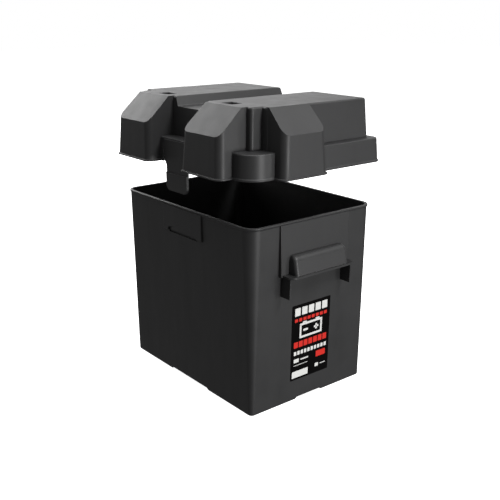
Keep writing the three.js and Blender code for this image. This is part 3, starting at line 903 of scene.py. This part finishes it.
def raised(name, s, inset, low, high):
    """The raised body, shrunk by inset: a wide block and a narrower one between the hoods."""

    def part(part_name, x0, x1, y):
        corner = max(BODY_CORNER - inset, MM / 2)

        def outline(z, grow):
            out = BODY_DRAFT * (TOP_Z - z) / (TOP_Z - LEDGE_Z) - inset + grow
            return rounded_rect(x0 - out, x1 + out, -y - out, y + out, [corner + grow] * 4, 8)

        if inset:
            return loft(part_name, [(low, outline(low, 0)), (high, outline(high, 0))])
        crown = round_levels(outline, high, s.crown_round, 5, False)
        return loft(part_name, [(low, outline(low, 0)), *crown])

    wide = part(name, NOTCH_X, BODY_EAST, BODY_Y)
    narrow = part("narrow", BODY_WEST, (BODY_WEST + BODY_EAST) / 2, NOTCH_Y)
    return join(wide, narrow)


def valley(name, s, shift):
    """The space over the strap valley, with a rounded floor and flared upper edges."""
    floor = TOP_Z - s.valley_depth - shift
    half = VALLEY_HALF + shift
    flare = 1.6 * MM
    fillet = 2.5 * MM
    slope = VALLEY_SLOPE * (TOP_Z - floor) / s.valley_depth
    if shift:
        top = TOP_Z + PAST
        spread = VALLEY_SLOPE * (top - floor) / s.valley_depth
        right = [(half, floor), (half + spread, top)]
    else:
        tilt = math.degrees(math.atan2(VALLEY_SLOPE, s.valley_depth))
        corner = arc((half - fillet, floor + fillet), fillet, -90, -tilt, 5)
        mouth = arc((half + slope + flare, TOP_Z - flare), flare, 180 - tilt, 90, 5)
        right = [*corner, *mouth, (half + slope + flare, TOP_Z + PAST)]
    left = [(-y, z) for y, z in reversed(right)]
    return prism(name, [*left, *right], "X", BODY_WEST - PAST, BODY_EAST + PAST)


def hood_block(name, s, half, face, slant_top, slant_low, inner, grow, low, lip):
    """A hood pointing along -Y with its middle at x = 0, swollen or shrunk by grow."""

    def outline(z, more):
        out = HOOD_DRAFT * (slant_low - z) / (slant_low - LIP_Z) + grow + more
        r = s.hood_corner + grow + more
        return rounded_rect(-half - out, half + out, -face - out, -inner, [r, r, 0, 0], 12)

    top = TOP_Z + grow
    if lip:
        lip_top = low + HOOD_LIP_HEIGHT
        levels = [
            (low, outline(low, s.hood_lip - 0.5 * MM)),
            (low + 0.5 * MM, outline(low, s.hood_lip)),
            (lip_top - 0.3 * MM, outline(lip_top, s.hood_lip)),
            (lip_top, outline(lip_top, s.hood_lip - 0.3 * MM)),
            (lip_top + 0.4 * MM, outline(lip_top, 0.4 * MM)),
            (lip_top + 1.2 * MM, outline(lip_top, 0)),
        ]
    else:
        levels = [(low, outline(low, 0))]
    levels.append((top, outline(top, 0)))
    hood = loft(name, levels)
    run = face - slant_top
    drop = TOP_Z - slant_low
    near = -slant_top - grow * math.tan(math.atan2(drop, run) / 2)
    far = near - 2 * run
    profile = [(near, top), (near, top + PAST), (far, top + PAST), (far, top - 2 * drop)]
    cut(hood, prism("above_slant", profile, "X", -half - PAST, half + PAST))
    if not lip:
        return hood

    def outer_edge(edge):
        ends = [v.co for v in edge.verts]
        above = all(p.z > LEDGE_Z for p in ends)
        long = abs(ends[0].z - ends[1].z) > SHORT_EDGE
        upright = long and max(p.z for p in ends) < slant_low + MM
        at_root = all(p.y > -inner - 0.1 * MM for p in ends)
        crease = all(abs(p.z - TOP_Z) < 0.1 * MM and abs(p.y - near) < MM / 2 for p in ends)
        return above and not upright and not at_root and not crease

    return soften(hood, s.hood_edge, 4, outer_edge)


HOODS = {
    "long": dict(
        half=(WEST_FAR - WEST_NEAR) / 2,
        face=-WEST_FACE,
        slant_top=-WEST_SLANT_TOP,
        slant_low=WEST_SLANT_LOW,
        wall=-BODY_WEST,
    ),
    "side": dict(
        half=(SIDE_EAST - SIDE_WEST) / 2,
        face=SIDE_FACE,
        slant_top=SIDE_SLANT_TOP,
        slant_low=SIDE_SLANT_LOW,
        wall=BODY_Y,
    ),
}
LONG_MIDDLE = (WEST_NEAR + WEST_FAR) / 2
SIDE_MIDDLE = (SIDE_WEST + SIDE_EAST) / 2
HOOD_PLACES = [
    ("long", -90, 0, -LONG_MIDDLE),
    ("long", -90, 0, LONG_MIDDLE),
    ("side", 0, SIDE_MIDDLE, 0),
    ("side", 180, SIDE_MIDDLE, 0),
]


def hood_in_place(name, s, where, grow, depth, low, lip):
    kind, angle, x, y = where
    sizes = dict(HOODS[kind])
    wall = sizes.pop("wall")
    hood = hood_block(name, s, inner=wall - depth, grow=grow, low=low, lip=lip, **sizes)
    return turned(hood, angle, x, y)


def vent_well(name, side, grow, depth, top, flare):
    """The space of a vent's well, with a flared mouth where flare is set."""

    def outline(more):
        out = grow + more
        y0, y1 = (VENT_NEAR - out, VENT_FAR + out)
        ys = (y0, y1) if side > 0 else (-y1, -y0)
        return rounded_rect(VENT_WEST - out, VENT_EAST + out, *ys, [VENT_CORNER + out] * 4, 6)

    levels = [(TOP_Z - depth, outline(-0.6 * MM)), (TOP_Z - depth + 0.8 * MM, outline(0))]
    if flare:
        for step in range(5):
            a = math.pi / 2 * step / 4
            levels.append((TOP_Z - flare * (1 - math.sin(a)), outline(flare * (1 - math.cos(a)))))
        levels.append((top, outline(flare)))
    else:
        levels.append((top, outline(0)))
    return loft(name, levels)


def tab_slot(name):
    half = TAB_HALF + TAB_SLIT
    low = (FLANGE_X - SLOT_DEPTH, -half, LIP_Z - PAST)
    return block(name, low, (FLANGE_X + PAST, half, LEDGE_Z - SLOT_ROOF))


class BATTERYBOX_OT_lid(bpy.types.Operator):
    """Mould the lid: rim cap, raised body, cable hoods, strap valley and vent wells"""

    bl_idname = "battery_box.lid"
    bl_label = "Lid"

    def execute(self, context):
        s = context.scene.battery_box_lid
        ceiling = TOP_Z - s.wall
        under_ledge = LEDGE_Z - s.wall
        lid = cap("lid_moulding", s, 0, LIP_Z, LEDGE_Z)
        hoods = [
            hood_in_place(f"hood_{i}", s, where, 0, HOOD_ROOT, LIP_Z, True)
            for i, where in enumerate(HOOD_PLACES)
        ]
        join(lid, raised("raised", s, 0, under_ledge, TOP_Z), *hoods)
        hollow = raised("hollow", s, s.wall, under_ledge - MM, ceiling)
        throats = [
            hood_in_place(f"throat_{i}", s, where, -s.wall, THROAT_ROOT, LIP_Z - MM, False)
            for i, where in enumerate(HOOD_PLACES)
        ]
        join(hollow, cap("rim_room", s, s.wall, LIP_Z - MM, under_ledge), *throats)
        wells = [
            vent_well(f"well_{side}", side, s.wall, VENT_DEPTH + s.wall, TOP_Z - MM, 0)
            for side in (-1, 1)
        ]
        cut(hollow, valley("valley_skin", s, s.wall), *wells)
        cut(lid, hollow)
        slot = tab_slot("slot")
        far_slot = mirrored(slot, "far_slot", "X")
        pockets = [
            vent_well(f"pocket_{side}", side, 0, VENT_DEPTH, TOP_Z + PAST, VENT_FLARE)
            for side in (-1, 1)
        ]
        cut(lid, slot, far_slot, valley("valley", s, 0), *pockets)
        merge_flat(lid)
        nodes = ["lid_skirt", "lid_corner_front", "lid_corner_rear", "lid_latch_bridge"]
        nodes += ["lid_crown_front", "lid_crown_rear", "strap_bridge"]
        nodes += [f"cable_hood_{where}" for where in ("long_front", "long_rear", "front", "rear")]
        place(lid, "lid", "lid_plastic", [finish("black_polypropylene")], *nodes)
        return {"FINISHED"}


class BATTERYBOX_OT_louvres(bpy.types.Operator):
    """Mould the bar along each vent well"""

    bl_idname = "battery_box.louvres"
    bl_label = "Vent louvres"

    def execute(self, context):
        low = Vector((LOUVRE_LOW.x - MIDDLE_X - MM, LOUVRE_LOW.y, LOUVRE_LOW.z - MM))
        high = Vector((LOUVRE_HIGH.x - MIDDLE_X + MM, LOUVRE_HIGH.y, LOUVRE_HIGH.z))
        rear = block("vent_bar_rear", low, high)

        def upper_long(edge):
            long = abs(edge.verts[0].co.x - edge.verts[1].co.x) > MM
            return long and middle(edge).z > high.z - MM

        soften(rear, LOUVRE_ROUND, 4, upper_long)
        front = mirrored(rear, "vent_bar_front", "Y")
        place(rear, "lid", "lid_plastic", [finish("black_polypropylene")], "vent_louvre_rear")
        place(front, "lid", "lid_plastic", [finish("black_polypropylene")], "vent_louvre_front")
        return {"FINISHED"}


# ---- snap tabs ----------------------------------------------------------------------------

TAB_FACE = 111.9 * MM
TAB_THICK = 2.4 * MM
TAB_LOW_HALF = 24.5 * MM
TAB_STEP = 298 * MM
TAB_NECK = 4 * MM
FINGER_HALF = 24 * MM
FINGER_PROUD = 1.6 * MM
FINGER_CORNER = 8 * MM
BARB_HALF = 17 * MM
BARB_LOW = 296 * MM
BARB_HIGH = 304.5 * MM
BARB_PROUD = 2 * MM
TAB_ROOT = 2 * MM  # how far the strap's root is below the ledge
STRAP_ROUND = 0.6 * MM
FINGER_ROUND = 0.9 * MM


def snap_tab():
    """The +X tab: strap, finger lip and barb."""
    inner = TAB_FACE - TAB_THICK
    root = LEDGE_Z - TAB_ROOT
    right = [
        (FINGER_HALF, TAB_STEP - 3 * MM),
        (TAB_LOW_HALF, LIP_Z - TAB_NECK),
        (TAB_LOW_HALF + 0.4 * (TAB_HALF - TAB_LOW_HALF), LIP_Z - 1 * MM),
        (TAB_HALF - 0.6 * MM, LIP_Z + 2 * MM),
        (TAB_HALF, LIP_Z + TAB_NECK + 1 * MM),
        (TAB_HALF, root),
    ]
    left = [(-y, z) for y, z in reversed(right)]
    strap = prism("snap_tab_east_moulding", [*right, *left], "X", inner, TAB_FACE)

    def outer(edge):
        return middle(edge).x > TAB_FACE - 0.1 * MM and middle(edge).z < root - MM

    soften(strap, STRAP_ROUND, 3, outer)
    low = TAB_LOW.z
    corner = FINGER_HALF - FINGER_CORNER
    outline = [
        *arc((-corner, low + FINGER_CORNER), FINGER_CORNER, 180, 270, 10),
        *arc((corner, low + FINGER_CORNER), FINGER_CORNER, 270, 360, 10),
        (FINGER_HALF, TAB_STEP),
        (-FINGER_HALF, TAB_STEP),
    ]
    finger = prism("finger", outline, "X", inner, TAB_FACE + FINGER_PROUD)
    soften(finger, FINGER_ROUND, 4, lambda e: abs(e.verts[0].co.x - e.verts[1].co.x) < 0.1 * MM)
    barb_profile = [
        (inner + 0.5 * MM, BARB_LOW),
        (inner + 0.5 * MM, BARB_HIGH),
        (inner - BARB_PROUD, BARB_HIGH),
        (inner - BARB_PROUD, BARB_HIGH - BARB_PROUD),
        (inner, BARB_LOW),
    ]
    barb = prism("barb", barb_profile, "Y", -BARB_HALF, BARB_HALF)
    join(strap, finger, barb)
    return merge_flat(strap)


class BATTERYBOX_OT_tabs(bpy.types.Operator):
    """Mould the two snap tabs"""

    bl_idname = "battery_box.tabs"
    bl_label = "Snap tabs"

    def execute(self, context):
        east = snap_tab()
        west = mirrored(east, "snap_tab_west_moulding", "X")
        place(east, "snap_tab_east", "tab_plastic", [finish("tab_polypropylene")], "snap_tab_east")
        place(west, "snap_tab_west", "tab_plastic", [finish("tab_polypropylene")], "snap_tab_west")
        return {"FINISHED"}


# ---- stage --------------------------------------------------------------------------------

CAMERA_AT = (-0.65046, -0.83122, 0.50815)
CAMERA_TURN = (math.radians(90 - 17.538), 0, math.radians(-38.906))
FLOOR_REACH = 8.0
FLOOR_CORNER = 2.0
FLOOR_THICK = 0.01
FLOOR_GLOW = 1.0
SURROUND_SEEN = 1.0
SURROUND_LIGHT = 0.2

# Each lamp: its name, place, size, power and what it looks at.
LIGHTS = [
    ("overhead", (0, 0, 2.2), 2.0, 30.7, (0, 0, 0.22)),
    ("rear", (0.1, 2.4, 1.2), 1.4, 37, (0, 0, 0.22)),
    ("rear_right", (0.9, 2.0, 1.3), 2.2, 18.5, (0, 0, 0.22)),
    ("right", (2.4, 0.6, 1.3), 1.4, 11, (0, 0, 0.22)),
    ("front_high", (0.6, -1.6, 2.2), 0.8, 49, (0, -0.1, 0.35)),
    ("front_low", (0.2, -2.4, 0.13), 0.25, 26, (0, 0, 0.12)),
    ("front_right_low", (1.3, -2.2, 0.13), 0.25, 5, (0, 0, 0.12)),
]


def soft_light(name, at, size, power, target):
    """A square area light that looks at target."""
    data = bpy.data.lights.new(name, "AREA")
    data.size = size
    data.energy = power
    lamp = bpy.data.objects.new(name, data)
    lamp.location = at
    lamp.rotation_euler = (Vector(target) - Vector(at)).to_track_quat("-Z", "Y").to_euler()
    bpy.context.scene.collection.objects.link(lamp)
    return lamp


def studio_world():
    """A plain white surround to look at, and a dimmer one that lights the box."""
    world = bpy.data.worlds.new("studio")
    world.use_nodes = True
    nodes, links = world.node_tree.nodes, world.node_tree.links
    back = nodes["Background"]
    path = nodes.new("ShaderNodeLightPath")
    dim = nodes.new("ShaderNodeBackground")
    dim.inputs["Color"].default_value = (1, 1, 1, 1)
    dim.inputs["Strength"].default_value = SURROUND_LIGHT
    back.inputs["Color"].default_value = (1, 1, 1, 1)
    back.inputs["Strength"].default_value = SURROUND_SEEN
    mix = nodes.new("ShaderNodeMixShader")
    links.new(path.outputs["Is Camera Ray"], mix.inputs["Fac"])
    links.new(dim.outputs["Background"], mix.inputs[1])
    links.new(back.outputs["Background"], mix.inputs[2])
    links.new(mix.outputs["Shader"], nodes["World Output"].inputs["Surface"])
    return world


class BATTERYBOX_OT_stage(bpy.types.Operator):
    """Lay the floor and set the studio light and the camera"""

    bl_idname = "battery_box.stage"
    bl_label = "Stage"

    def execute(self, context):
        s = context.scene.battery_box_stage
        context.scene.world = studio_world()
        context.scene.view_settings.view_transform = "Standard"
        ends = (-FLOOR_REACH, FLOOR_REACH)
        ring = rounded_rect(*ends, *ends, [FLOOR_CORNER] * 4, 12)
        floor = loft("floor", [(-FLOOR_THICK, ring), (0, ring)])
        g = Graph("pale_floor")
        tone = g.blend(g.noise(3), scaled(s.floor, 0.985), s.floor)
        g.links.new(tone, g.shader.inputs["Base Color"])
        g.shader.inputs["Roughness"].default_value = 0.9
        g.shader.inputs["Emission Color"].default_value = (1, 1, 1, 1)
        g.shader.inputs["Emission Strength"].default_value = FLOOR_GLOW
        g.bump([(g.noise(700), 0.05, 0.2 * MM)])
        floor.data.materials.append(g.material)
        floor.visible_diffuse = False
        floor.visible_glossy = False
        for lamp in LIGHTS:
            soft_light(*lamp)
        data = bpy.data.cameras.new("camera")
        data.lens = s.lens
        camera = bpy.data.objects.new("camera", data)
        camera.location = CAMERA_AT
        camera.rotation_euler = CAMERA_TURN
        context.scene.collection.objects.link(camera)
        context.scene.camera = camera
        return {"FINISHED"}


# ---- panel --------------------------------------------------------------------------------

OPERATORS = (
    BATTERYBOX_OT_stage,
    BATTERYBOX_OT_tub,
    BATTERYBOX_OT_handles,
    BATTERYBOX_OT_label,
    BATTERYBOX_OT_lid,
    BATTERYBOX_OT_louvres,
    BATTERYBOX_OT_tabs,
)
SETTINGS = {
    "battery_box_tub": TubSettings,
    "battery_box_lid": LidSettings,
    "battery_box_finish": FinishSettings,
    "battery_box_stage": StageSettings,
}


class BATTERYBOX_PT_panel(bpy.types.Panel):
    """Lists the battery box's settings and pieces"""

    bl_idname = "BATTERYBOX_PT_panel"
    bl_label = "Battery Box"
    bl_space_type = "VIEW_3D"
    bl_region_type = "UI"
    bl_category = "Battery Box"

    def draw(self, context):
        for key, kind in SETTINGS.items():
            box = self.layout.box()
            settings = getattr(context.scene, key)
            for name in kind.__annotations__:
                box.prop(settings, name)
        for operator in OPERATORS:
            self.layout.operator(operator.bl_idname)


def register():
    for kind in (*SETTINGS.values(), *OPERATORS, BATTERYBOX_PT_panel):
        bpy.utils.register_class(kind)
    for key, kind in SETTINGS.items():
        setattr(bpy.types.Scene, key, PointerProperty(type=kind))


def unregister():
    for key in SETTINGS:
        delattr(bpy.types.Scene, key)
    for kind in (BATTERYBOX_PT_panel, *reversed(OPERATORS), *reversed(list(SETTINGS.values()))):
        bpy.utils.unregister_class(kind)


def main():
    register()
    for operator in OPERATORS:
        group, action = operator.bl_idname.split(".")
        getattr(getattr(bpy.ops, group), action)()


if __name__ == "__main__":
    main()
